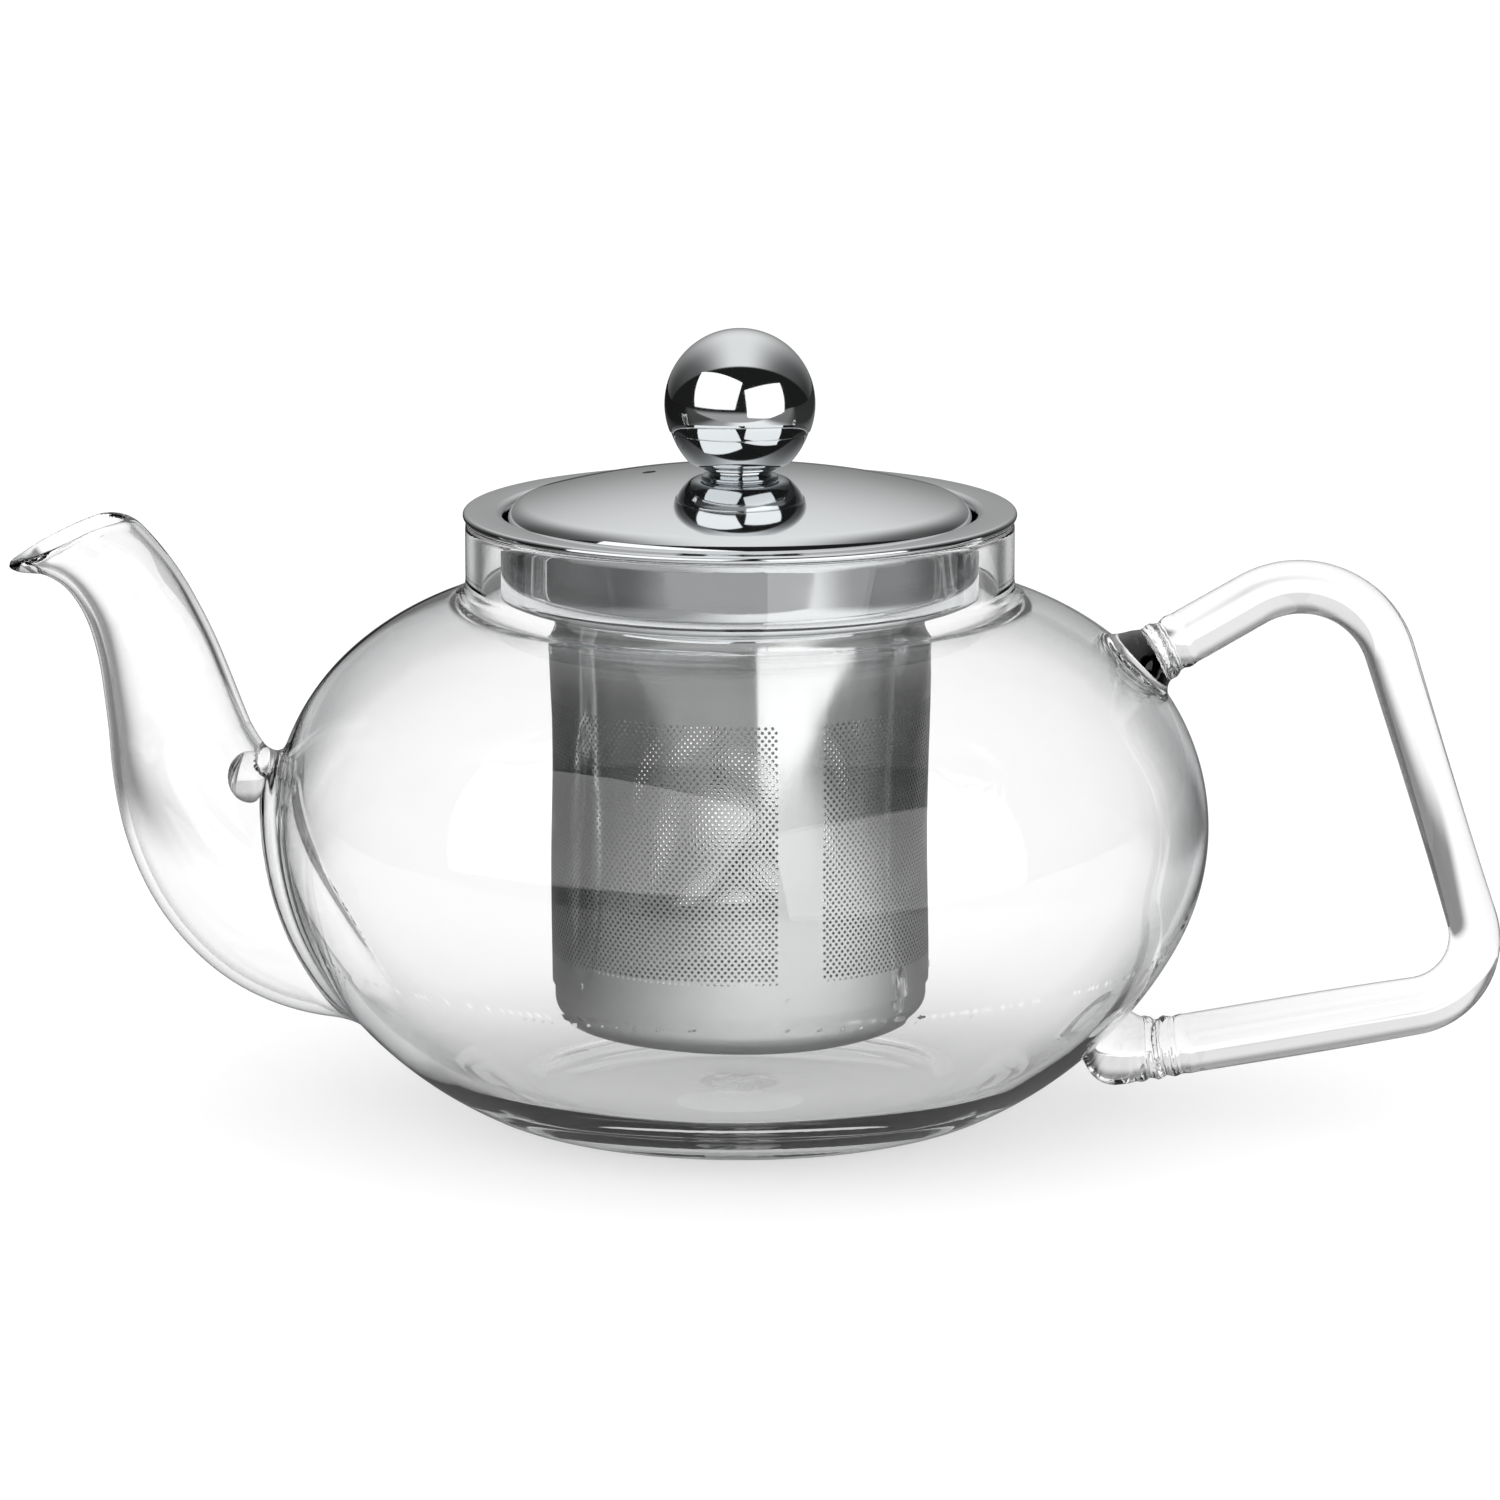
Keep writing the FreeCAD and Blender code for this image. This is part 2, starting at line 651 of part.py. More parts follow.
def make_bush():
    bore = size("screw_radius")
    foot = size("ball_base") + size("ball_metal")
    outline = [
        (bore, foot, None),
        (size("bush_radius"), foot, None),
        (size("bush_radius"), size("bush_top"), None),
        (bore, size("bush_top"), None),
    ]
    return turned("knob_bush", outline)


def washer_top():
    return dome_height(size("washer_radius"), size("dome_metal"))


def make_washer():
    foot = washer_top() - size("washer_height")
    outline = [
        (size("screw_hole"), foot, None),
        (size("washer_radius"), foot, None),
        (size("washer_radius"), washer_top(), None),
        (size("screw_hole"), washer_top(), None),
    ]
    return turned("knob_washer", outline)


def make_screw():
    seat = washer_top() - size("washer_height")
    shank = size("screw_radius")
    outline = [
        (0.0, seat - size("head_height"), None),
        (size("head_radius"), seat - size("head_height"), None),
        (size("head_radius"), seat, None),
        (shank, seat, None),
        (shank, size("screw_tip"), None),
        (0.0, size("screw_tip"), None),
    ]
    return turned("knob_screw", outline)


def make_lid():
    return [
        make_dome(), make_lid_skirt(), make_upper_shell(), make_lower_shell(),
        make_knob_neck(), make_bush(), make_screw(), make_washer(),
    ]


# ---- build, test and write ----

def check_document():
    for obj in doc.Objects:
        if "Invalid" in obj.State or "Error" in obj.State:
            raise RuntimeError("%s failed: %s" % (obj.Name, obj.State))


def write_parts(parts):
    os.makedirs("parts", exist_ok=True)
    for obj in parts:
        shape = obj.Shape
        if shape.isNull() or not shape.isValid() or not shape.Solids:
            raise RuntimeError(obj.Label + " has no valid solid")
        shape.exportStep("parts/%s.step" % obj.Label)
        print("%-20s %10.1f mm3, %d solid(s)" % (obj.Label, shape.Volume, len(shape.Solids)))


parts = make_pot() + make_infuser() + make_lid()
doc.recompute()
check_document()
write_parts(parts)
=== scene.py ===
"""Looks of the glass teapot: fused borosilicate pot, micro-perforated steel infuser, polished lid.

Lengths inside the shape functions are in millimetres, as on a workshop drawing, and meshes are scaled
to metres when they are made. X runs from spout to handle, Z is up, the pot axis is the Z axis.
"""
import json
import math

import bpy
import numpy as np
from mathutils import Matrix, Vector


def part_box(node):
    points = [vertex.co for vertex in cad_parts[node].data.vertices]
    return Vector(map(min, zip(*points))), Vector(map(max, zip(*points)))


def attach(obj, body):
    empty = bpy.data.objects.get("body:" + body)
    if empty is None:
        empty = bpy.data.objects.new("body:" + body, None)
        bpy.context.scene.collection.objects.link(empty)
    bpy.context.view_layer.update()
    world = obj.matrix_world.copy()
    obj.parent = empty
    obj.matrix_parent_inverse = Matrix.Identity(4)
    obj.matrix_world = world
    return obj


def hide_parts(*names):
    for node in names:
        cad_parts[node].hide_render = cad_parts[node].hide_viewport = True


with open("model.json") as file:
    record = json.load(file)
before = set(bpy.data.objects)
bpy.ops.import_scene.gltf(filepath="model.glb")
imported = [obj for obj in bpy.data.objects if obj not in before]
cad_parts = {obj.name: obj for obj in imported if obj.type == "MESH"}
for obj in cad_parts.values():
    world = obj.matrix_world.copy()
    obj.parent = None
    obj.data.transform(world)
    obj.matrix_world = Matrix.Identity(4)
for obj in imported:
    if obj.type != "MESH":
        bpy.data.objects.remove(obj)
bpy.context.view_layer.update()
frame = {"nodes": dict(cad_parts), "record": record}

MM = 0.001


def span(node):
    """Lowest and highest corner of a CAD node in millimetres."""
    low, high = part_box(node)
    return Vector(low) / MM, Vector(high) / MM


# ---- camera ----

CAMERA_DISTANCE = 1.200
CAMERA_HEIGHT = 0.2969
AIM_HEIGHT = 0.0555
CAMERA_OFFSET = 0.0015
LENS = 195.8


def add_camera():
    data = bpy.data.cameras.new("camera")
    data.lens = LENS
    data.sensor_width = 36.0
    data.clip_start = 0.05
    data.clip_end = 50.0
    camera = bpy.data.objects.new("camera", data)
    camera.location = (CAMERA_OFFSET, -CAMERA_DISTANCE, CAMERA_HEIGHT)
    aim = Vector((CAMERA_OFFSET, 0.0, AIM_HEIGHT)) - camera.location
    camera.rotation_euler = aim.to_track_quat("-Z", "Y").to_euler()
    bpy.context.scene.collection.objects.link(camera)
    bpy.context.scene.camera = camera


# ---- mesh helpers ----

def new_piece(name, points, faces, body, replaced):
    """A mesh piece from points in millimetres, riding on a body and standing for CAD nodes."""
    mesh = bpy.data.meshes.new(name)
    mesh.from_pydata(np.asarray(points) * MM, [], faces)
    mesh.validate()
    mesh.shade_smooth()
    piece = bpy.data.objects.new(name, mesh)
    bpy.context.scene.collection.objects.link(piece)
    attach(piece, body)
    if replaced:
        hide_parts(*replaced)
    return piece


def sharpen(mesh, degrees):
    """Marks the edges whose faces meet at more than this angle as sharp."""
    mesh.set_sharp_from_angle(angle=math.radians(degrees))


def arc_points(start, end, radius, side, steps):
    """Points after start up to end on an arc; side 1 has its centre left of the way."""
    a, b = np.array(start, float), np.array(end, float)
    along = b - a
    length = np.hypot(*along)
    reach = math.sqrt(max(radius * radius - length * length / 4.0, 0.0))
    left = np.array([-along[1], along[0]]) / length
    centre = (a + b) / 2 + left * reach * side
    first = math.atan2(a[1] - centre[1], a[0] - centre[0])
    last = math.atan2(b[1] - centre[1], b[0] - centre[0])
    if side > 0 and last < first:
        last += 2 * math.pi
    if side < 0 and last > first:
        last -= 2 * math.pi
    angles = np.linspace(first, last, steps + 1)[1:]
    return [(centre[0] + radius * math.cos(t), centre[1] + radius * math.sin(t)) for t in angles]


def profile(corners):
    """A closed profile from corners (radius, height, arc), arc being None or (radius, side, steps)."""
    points = []
    for i, (r, z, arc) in enumerate(corners):
        following = corners[(i + 1) % len(corners)][:2]
        points.append((r, z))
        if arc is not None:
            points += arc_points((r, z), following, *arc)[:-1]
    return points


def lathe(name, corners, body, replaced, segments=256, crease=35.0):
    """A turned piece: the profile swept once round the pot axis, with one point where it meets the axis."""
    outline = profile(corners)
    turns = np.arange(segments) * (2 * math.pi / segments)
    points, rows = [], []
    for r, z in outline:
        start = len(points)
        if r < 1e-6:
            points.append((0.0, 0.0, z))
            rows.append([start] * segments)
            continue
        points += [(r * math.cos(t), r * math.sin(t), z) for t in turns]
        rows.append(list(range(start, start + segments)))
    faces = []
    for i in range(len(rows)):
        low, high = rows[i], rows[(i + 1) % len(rows)]
        if low[0] == low[1] and high[0] == high[1]:
            continue
        for j in range(segments):
            k = (j + 1) % segments
            corner_list = [low[j], low[k], high[k], high[j]]
            faces.append(list(dict.fromkeys(corner_list)))
    piece = new_piece(name, points, faces, body, replaced)
    sharpen(piece.data, crease)
    return piece


# ---- glass pot as a solid field ----

LOWER_ARC = (14.0, 55.84, 59.28)
BELLY_ARC = (35.92, 44.11, 34.41)
SHOULDER_ARC = (31.48, 38.92, 41.24)
BELLY_UP = math.radians(49.4)
BELLY_DOWN = math.radians(28.2)
NECK_RADIUS = 41.0
NECK_WALL = 2.3
NECK_TOP = span("pot_bowl")[1].z
BOWL_WALL = 2.0
FLOOR_HEIGHT = 3.6

SPOUT_PATH = [
    (-46.0, 31.0, 16.8), (-58.0, 31.6, 17.0), (-68.5, 34.6, 16.4), (-76.2, 41.0, 14.6),
    (-80.9, 48.5, 12.7), (-83.9, 57.5, 10.75), (-86.3, 67.5, 9.35), (-89.1, 75.8, 8.25),
    (-93.6, 83.4, 7.45), (-97.9, 87.4, 7.25), (-102.4, 89.8, 7.5),
]
SPOUT_WALL = 1.35
SPOUT_FLATTEN = 1.08
MOUTH_FLATTEN = 0.76
MOUTH_POINT = (-92.75, 91.85)
MOUTH_SLOPE = math.radians(24.6)
LIP_BEAD = 0.3

HANDLE_START = (54.1, 65.5)
HANDLE_RISE = math.radians(30.0)
GRIP_ANGLE = math.radians(72.4)
RETURN_ANGLE = math.radians(9.6)
CREST = (83.7, 80.4)
TOP_BEND = 14.25
CORNER_BEND = 10.5
GRIP_LENGTH = 42.8
RETURN_LENGTH = 46.0
FOLDS = [
    ((63.6, 70.6), HANDLE_RISE, 2.9, 0.34, 2.6),
    ((62.0, 12.0), math.pi - RETURN_ANGLE + 0.35, 2.5, 0.42, 3.6),
]


def smooth_min(a, b, blend):
    h = np.maximum(blend - np.abs(a - b), 0.0) / blend
    return np.minimum(a, b) - h * h * blend * 0.25


def smooth_max(a, b, blend):
    return -smooth_min(-a, -b, blend)


def belly_distance(r, z):
    """Signed distance from the bowl's outside curve of three tangent arcs."""
    angle = np.arctan2(z - BELLY_ARC[1], r - BELLY_ARC[0])

    def from_arc(arc):
        reach = np.maximum(r - arc[0], 0.0) if arc is not BELLY_ARC else r - arc[0]
        return np.hypot(reach, z - arc[1]) - arc[2]

    upper = np.where(angle > BELLY_UP, from_arc(SHOULDER_ARC), from_arc(BELLY_ARC))
    return np.where(angle < -BELLY_DOWN, from_arc(LOWER_ARC), upper)


class Run:
    """A planar centreline of tangent lines and arcs in the X-Z plane, with distance and run length."""

    def __init__(self, start, heading):
        self.point = np.array(start, float)
        self.heading = heading
        self.length = 0.0
        self.stretches = []

    def line(self, length):
        ahead = np.array([math.cos(self.heading), math.sin(self.heading)])
        self.stretches.append(("line", self.point.copy(), ahead, length, self.length))
        self.point = self.point + ahead * length
        self.length += length

    def bend(self, radius, turn):
        """An arc by a signed turn in radians, positive to the left."""
        side = 1.0 if turn > 0 else -1.0
        left = np.array([-math.sin(self.heading), math.cos(self.heading)])
        centre = self.point + left * radius * side
        begin = math.atan2(*(self.point - centre)[::-1])
        self.stretches.append(("arc", centre, radius, begin, turn, self.length))
        self.heading += turn
        out = np.array([math.cos(begin + turn), math.sin(begin + turn)])
        self.point = centre + out * radius
        self.length += radius * abs(turn)

    def arc_to(self, target):
        """The arc, tangent to the way so far, that ends at target."""
        chord = np.array(target, float) - self.point
        turn = 2.0 * (math.atan2(chord[1], chord[0]) - self.heading)
        turn = (turn + math.pi) % (2 * math.pi) - math.pi
        if abs(turn) < 1e-4:
            self.line(float(np.hypot(*chord)))
        else:
            self.bend(float(np.hypot(*chord)) / (2 * math.sin(abs(turn) / 2)), turn)

    def nearest(self, x, z):
        """Distance in the plane and run length at the nearest point, for arrays x and z."""
        best = np.full(x.shape, 1e9)
        run = np.zeros(x.shape)
        for stretch in self.stretches:
            if stretch[0] == "line":
                _, start, ahead, length, before = stretch
                reach = np.clip((x - start[0]) * ahead[0] + (z - start[1]) * ahead[1], 0.0, length)
                gap = np.hypot(x - start[0] - ahead[0] * reach, z - start[1] - ahead[1] * reach)
                at = before + reach
            else:
                _, centre, radius, begin, turn, before = stretch
                side = 1.0 if turn > 0 else -1.0
                swing = (np.arctan2(z - centre[1], x - centre[0]) - begin) * side
                middle = abs(turn) / 2
                off_middle = (swing - middle + math.pi) % (2 * math.pi) - math.pi
                swing = np.clip(off_middle, -middle, middle) + middle
                px = centre[0] + radius * np.cos(begin + swing * side)
                pz = centre[1] + radius * np.sin(begin + swing * side)
                gap = np.hypot(x - px, z - pz)
                at = before + radius * swing
            closer = gap < best
            best = np.where(closer, gap, best)
            run = np.where(closer, at, run)
        return best, run


def eased(knots, values, at):
    """Smooth curve through values at knots (Catmull-Rom slopes), read at an array of places."""
    knots, values = np.array(knots), np.array(values)
    slopes = np.gradient(values, knots)
    i = np.clip(np.searchsorted(knots, at) - 1, 0, len(knots) - 2)
    width = knots[i + 1] - knots[i]
    t = np.clip((at - knots[i]) / width, 0.0, 1.0)
    a = values[i] * (1 + 2 * t) * (1 - t) ** 2 + slopes[i] * width * t * (1 - t) ** 2
    b = values[i + 1] * (3 - 2 * t) * t ** 2 - slopes[i + 1] * width * t ** 2 * (1 - t)
    return a + b


def spout_run():
    run = Run(SPOUT_PATH[0][:2], math.radians(177.0))
    knots = [0.0]
    for x, z, _ in SPOUT_PATH[1:]:
        run.arc_to((x, z))
        knots.append(run.length)
    return run, knots, [radius for _, _, radius in SPOUT_PATH]


def handle_run():
    hub = np.array([CREST[0], CREST[1] - TOP_BEND])
    arc_start = hub + TOP_BEND * np.array([-math.sin(HANDLE_RISE), math.cos(HANDLE_RISE)])
    rise = float(np.hypot(*(arc_start - np.array(HANDLE_START))))
    run = Run(HANDLE_START, HANDLE_RISE)
    run.line(rise)
    run.bend(TOP_BEND, -(HANDLE_RISE + GRIP_ANGLE))
    grip_start = run.length
    run.line(GRIP_LENGTH)
    grip_end = run.length
    run.bend(CORNER_BEND, -(math.pi - GRIP_ANGLE - RETURN_ANGLE))
    run.line(RETURN_LENGTH)
    knots = [0.0, rise, grip_start, grip_end, grip_end + 18.0, run.length]
    radii = [4.2, 4.1, 3.8, 3.8, 4.35, 4.5]
    return run, knots, radii


SPOUT = spout_run()
HANDLE = handle_run()


def tube_distance(tube, x, y, z, grow=0.0, flatten=1.0):
    run, knots, radii = tube
    gap, at = run.nearest(x, z)
    return np.hypot(gap, y * flatten) - eased(knots, radii, at) - grow


def weld_folds(x, y, z):
    """Folds in the gathered glass where the handle rod is melted on, at both of its ends."""
    folds = np.zeros_like(x)
    for centre, way, pitch, size, reach in FOLDS:
        along = (x - centre[0]) * math.cos(way) + (z - centre[1]) * math.sin(way)
        across = (z - centre[1]) * math.cos(way) - (x - centre[0]) * math.sin(way)
        turn = np.arctan2(y, across)
        wave = np.cos(along * (2 * math.pi / pitch) + 0.8 * np.sin(turn * 2 + 0.6))
        folds += size * wave * np.exp(-(along / reach) ** 2 - (across / 9.0) ** 4)
    return folds


def hand_wave(x, y, z, size):
    """The slight unevenness that blowing and turning leave in a wall."""
    turn = np.arctan2(y, x)
    wave = np.sin(turn * 5 + z * 0.11) + np.sin(turn * 9 - z * 0.17 + 1.3) * 0.6
    return size * (wave + np.sin(z * 0.23 + 0.7) * 0.5)


def lump(x, y, z, centre, radii):
    gap = np.sqrt(((x - centre[0]) / radii[0]) ** 2 + (y / radii[1]) ** 2
                  + ((z - centre[1]) / radii[2]) ** 2)
    return (gap - 1.0) * min(radii)


def glass_field(x, y, z):
    """Negative inside the glass of the pot."""
    r = np.hypot(x, y)
    belly = belly_distance(r, z)
    neck = np.maximum(r - NECK_RADIUS, 62.0 - z)
    outside = smooth_min(belly, neck, 3.0)
    cavity = belly + BOWL_WALL + 0.9 * np.exp(-np.maximum(z, 0.0) / 14.0) + hand_wave(x, y, z, 0.05)
    hollow_neck = np.maximum(r - NECK_RADIUS + NECK_WALL, 62.0 - z)
    inside = smooth_min(cavity, hollow_neck, 3.0)
    inside = smooth_max(inside, FLOOR_HEIGHT - z + 0.4 * np.exp(-(r / 5.0) ** 2), 9.0)

    left = x < -38.0
    if left.any():
        a, b, c = x[left], y[left], z[left]
        opening = np.clip((c - 76.0) / 11.0, 0.0, 1.0)
        flatten = SPOUT_FLATTEN + (MOUTH_FLATTEN - SPOUT_FLATTEN) * opening * opening * (3 - 2 * opening)
        outer = tube_distance(SPOUT, a, b, c, flatten=flatten)
        channel = tube_distance(SPOUT, a, b, c, -SPOUT_WALL, flatten)
        joined = smooth_min(outside[left], outer, 3.2)
        joined = smooth_min(joined, lump(a, b, c, (-71.4, 52.2), (3.4, 4.6, 2.6)), 1.6)
        joined = smooth_min(joined, lump(a, b, c, (-106.9, 84.2), (2.2, 3.4, 1.5)), 1.6)
        above = (c - MOUTH_POINT[1]) * math.cos(MOUTH_SLOPE) - (a - MOUTH_POINT[0]) * math.sin(MOUTH_SLOPE)
        joined = joined - LIP_BEAD * np.exp(-(above / 1.2) ** 2) * (a < -75.0)
        outside[left] = np.where(a < -75.0, smooth_max(joined, above, 1.2), joined)
        hollow = smooth_min(inside[left], channel, 2.6)
        inside[left] = smooth_max(hollow, -lump(a, b, c, (-73.5, 51.4), (3.4, 5.0, 3.9)), 0.8)

    right = x > 38.0
    if right.any():
        a, b, c = x[right], y[right], z[right]
        rod = tube_distance(HANDLE, a, b, c) - weld_folds(a, b, c)
        joined = smooth_min(outside[right], rod, 3.4)
        joined = smooth_min(joined, lump(a, b, c, (59.4, 68.8), (4.6, 6.2, 4.2)), 2.2)
        joined = smooth_min(joined, lump(a, b, c, (57.6, 10.2), (5.2, 5.8, 4.8)), 1.8)
        outside[right] = joined

    outside = smooth_max(outside, z - NECK_TOP, 1.2)
    foot = -z + 0.6 * np.clip((34.0 - r) / 4.0, 0.0, 1.0)
    outside = smooth_max(outside, foot, 3.0)
    return smooth_max(outside, -inside, 1.1)


def sample(field, points):
    """The field at an array of points, in batches that fit in memory."""
    values = np.empty(len(points))
    batch = 400000
    for i in range(0, len(points), batch):
        part = points[i:i + batch]
        values[i:i + batch] = field(part[:, 0].copy(), part[:, 1].copy(), part[:, 2].copy())
    return values


def slope(field, points, step=0.04):
    """Gradient of the field by central differences."""
    grades = np.empty_like(points)
    for axis in range(3):
        shift = np.zeros(3)
        shift[axis] = step
        grades[:, axis] = (sample(field, points + shift) - sample(field, points - shift)) / (2 * step)
    return grades


def surface_net(field, low, high, step):
    """Closed quad mesh of the field's zero surface on a regular grid, found coarse to fine."""
    coarse = 4
    count = np.ceil((high - low) / (step * coarse)).astype(int) * coarse
    axes = [low[i] + np.arange(count[i] + 1) * step for i in range(3)]
    block_axes = [axis[:-1:coarse] + step * coarse / 2 for axis in axes]
    blocks = np.stack(np.meshgrid(*block_axes, indexing="ij"), -1).reshape(-1, 3)
    rough = sample(field, blocks).reshape([len(axis) for axis in block_axes])
    near = np.abs(rough) < step * coarse * 1.9
    grid = np.empty(tuple(count + 1), np.float32)
    full = np.repeat(np.repeat(np.repeat(rough, coarse, 0), coarse, 1), coarse, 2)
    grid[:-1, :-1, :-1] = full
    grid[-1] = grid[:, -1] = 1.0
    grid[:, :, -1] = 1.0
    active = np.zeros(grid.shape, bool)
    spread = np.repeat(np.repeat(np.repeat(near, coarse, 0), coarse, 1), coarse, 2)
    active[:-1, :-1, :-1] = spread
    active[1:, :-1, :-1] |= spread
    active[:, 1:, :] |= active[:, :-1, :].copy()
    active[:, :, 1:] |= active[:, :, :-1].copy()
    index = np.argwhere(active)
    places = low + index * step
    grid[active] = sample(field, places)

    inside = grid < 0
    cells = np.array(grid.shape) - 1
    total = int(np.prod(cells))
    sums, hits = np.zeros((total, 3)), np.zeros(total)
    quads = []
    strides = np.array([cells[1] * cells[2], cells[2], 1])
    for axis in range(3):
        a = [slice(None)] * 3
        b = [slice(None)] * 3
        a[axis] = slice(None, -1)
        b[axis] = slice(1, None)
        start, end = inside[tuple(a)], inside[tuple(b)]
        edge = np.argwhere(start != end)
        others = [k for k in range(3) if k != axis]
        fits = np.all((edge[:, others] > 0) & (edge[:, others] < cells[others]), axis=1)
        edge = edge[fits]
        one = tuple(edge.T)
        step_index = edge.copy()
        step_index[:, axis] += 1
        two = tuple(step_index.T)
        share = grid[one] / (grid[one] - grid[two])
        crossing = edge.astype(float)
        crossing[:, axis] += share
        ring = []
        for du, dv in ((0, 0), (-1, 0), (-1, -1), (0, -1)):
            cell = edge.copy()
            cell[:, others[0]] += du
            cell[:, others[1]] += dv
            flat = cell @ strides
            ring.append(flat)
            hits += np.bincount(flat, minlength=total)
            for k in range(3):
                sums[:, k] += np.bincount(flat, crossing[:, k], minlength=total)
        ring = np.stack(ring, 1)
        leaving = inside[one]
        flip = leaving if axis != 1 else ~leaving
        ring[~flip] = ring[~flip][:, ::-1]
        quads.append(ring)
    quads = np.concatenate(quads)
    used = np.flatnonzero(hits)
    number = np.full(total, -1)
    number[used] = np.arange(len(used))
    points = low + sums[used] / hits[used, None] * step
    return points, number[quads]


def settle(field, points, rounds):
    """Moves points onto the field's zero surface."""
    for _ in range(rounds):
        grade = slope(field, points)
        square = np.maximum((grade ** 2).sum(1), 0.05)
        move = sample(field, points) / square
        points = points - grade * np.clip(move, -0.5, 0.5)[:, None]
    return points


def relax(points, quads):
    """One even-out pass: each point goes part way to the middle of its neighbours."""
    sums, hits = np.zeros_like(points), np.zeros(len(points))
    for a, b in ((0, 1), (1, 2), (2, 3), (3, 0)):
        for one, two in ((a, b), (b, a)):
            hits += np.bincount(quads[:, one], minlength=len(points))
            for k in range(3):
                sums[:, k] += np.bincount(quads[:, one], points[quads[:, two], k], minlength=len(points))
    return points + (sums / np.maximum(hits, 1)[:, None] - points) * 0.5


def make_pot_glass():
    low = np.array([-112.0, -72.5, -1.2])
    high = np.array([117.0, 72.5, 94.0])
    points, quads = surface_net(glass_field, low, high, 0.66)
    points = settle(glass_field, points, 2)
    for _ in range(2):
        points = settle(glass_field, relax(points, quads), 1)
    points = settle(glass_field, points, 1)
    grade = slope(glass_field, points)
    grade /= np.linalg.norm(grade, axis=1)[:, None]
    nodes = ["pot_bowl", "pot_spout", "spout_seam", "handle_rod", "handle_top_weld", "handle_bottom_weld"]
    piece = new_piece("pot_glass", points, quads.tolist(), "pot", nodes)
    if len(piece.data.vertices) == len(points):
        piece.data.normals_split_custom_set_from_vertices(grade)
    return piece


# ---- infuser ----

BASKET_RADIUS = span("infuser_wall")[1].x
WALL_METAL = 0.4
PERFORATED_LOW = 25.0
PERFORATED_HIGH = 64.6
HOLE_PITCH = 1.0
ROW_PITCH = 0.6
HOLE_RADIUS = 0.26
SEAM_ANGLE = math.radians(-71.0)
SEAM_STRIP = 6.4


def make_perforated_wall():
    """The rolled basket wall with every etched hole cut through it."""
    columns = int(round(2 * math.pi * BASKET_RADIUS / HOLE_PITCH))
    half_columns = columns * 2
    rows = int(round((PERFORATED_HIGH - PERFORATED_LOW) / ROW_PITCH))
    rows = rows
    low, high = span("infuser_wall")
    heights = [low.z] + list(np.linspace(PERFORATED_LOW, PERFORATED_HIGH, rows + 1)) + [high.z]
    plain_columns = int(round(SEAM_STRIP / HOLE_PITCH * 2))
    first = plain_columns // 2
    last = half_columns - (plain_columns - first)
    step = 2 * math.pi / half_columns
    row_step = (PERFORATED_HIGH - PERFORATED_LOW) / rows
    points, faces = [], []

    def ring_points(radius):
        start = len(points)
        for height in heights:
            for c in range(half_columns):
                angle = SEAM_ANGLE + c * step
                points.append((radius * math.cos(angle), radius * math.sin(angle), height))
        return start

    outer, inner = ring_points(BASKET_RADIUS), ring_points(BASKET_RADIUS - WALL_METAL)

    def at(start, row, column):
        return start + row * half_columns + column % half_columns

    def plain(row, c):
        for start, turned in ((outer, False), (inner, True)):
            lower_side = [at(start, row, c), at(start, row, c + 1)]
            upper_side = [at(start, row + 1, c + 1), at(start, row + 1, c)]
            quad = lower_side + upper_side
            faces.append(quad[::-1] if turned else quad)

    hole_edges = []
    spokes = [(-1, 0, 210), (0, 0, 270), (1, 0, 330), (1, 1, 30), (0, 1, 90), (-1, 1, 150)]
    for row in range(len(heights) - 1):
        pierced = 0 < row < len(heights) - 2
        c = 0
        while c < half_columns:
            in_zone = first + (row % 2) <= c and c + 2 <= last - (1 - row % 2)
            if not (pierced and in_zone):
                plain(row, c)
                c += 1
                continue
            middle = c + 1
            rings = []
            for start, radius in ((outer, BASKET_RADIUS), (inner, BASKET_RADIUS - WALL_METAL)):
                ring = []
                for _, _, way in spokes:
                    across = HOLE_RADIUS * math.cos(math.radians(way))
                    angle = SEAM_ANGLE + middle * step + across / BASKET_RADIUS
                    height = heights[row] + row_step / 2 + HOLE_RADIUS * math.sin(math.radians(way))
                    ring.append(len(points))
                    points.append((radius * math.cos(angle), radius * math.sin(angle), height))
                rings.append(ring)
                edge = [at(start, row + up, middle + side) for side, up, _ in spokes]
                for k in range(6):
                    n = (k + 1) % 6
                    quad = [edge[k], edge[n], ring[n], ring[k]]
                    faces.append(quad if start == outer else quad[::-1])
            for k in range(6):
                n = (k + 1) % 6
                faces.append([rings[0][k], rings[0][n], rings[1][n], rings[1][k]])
            hole_edges.append(rings)
            c += 2
    top = len(heights) - 1
    for c in range(half_columns):
        faces.append([at(outer, 0, c + 1), at(outer, 0, c), at(inner, 0, c), at(inner, 0, c + 1)])
        faces.append([at(outer, top, c), at(outer, top, c + 1), at(inner, top, c + 1), at(inner, top, c)])
    piece = new_piece("infuser_wall_perforated", points, faces, "infuser",
                      ["infuser_wall", "infuser_seam"])
    sharpen(piece.data, 40.0)
    return piece


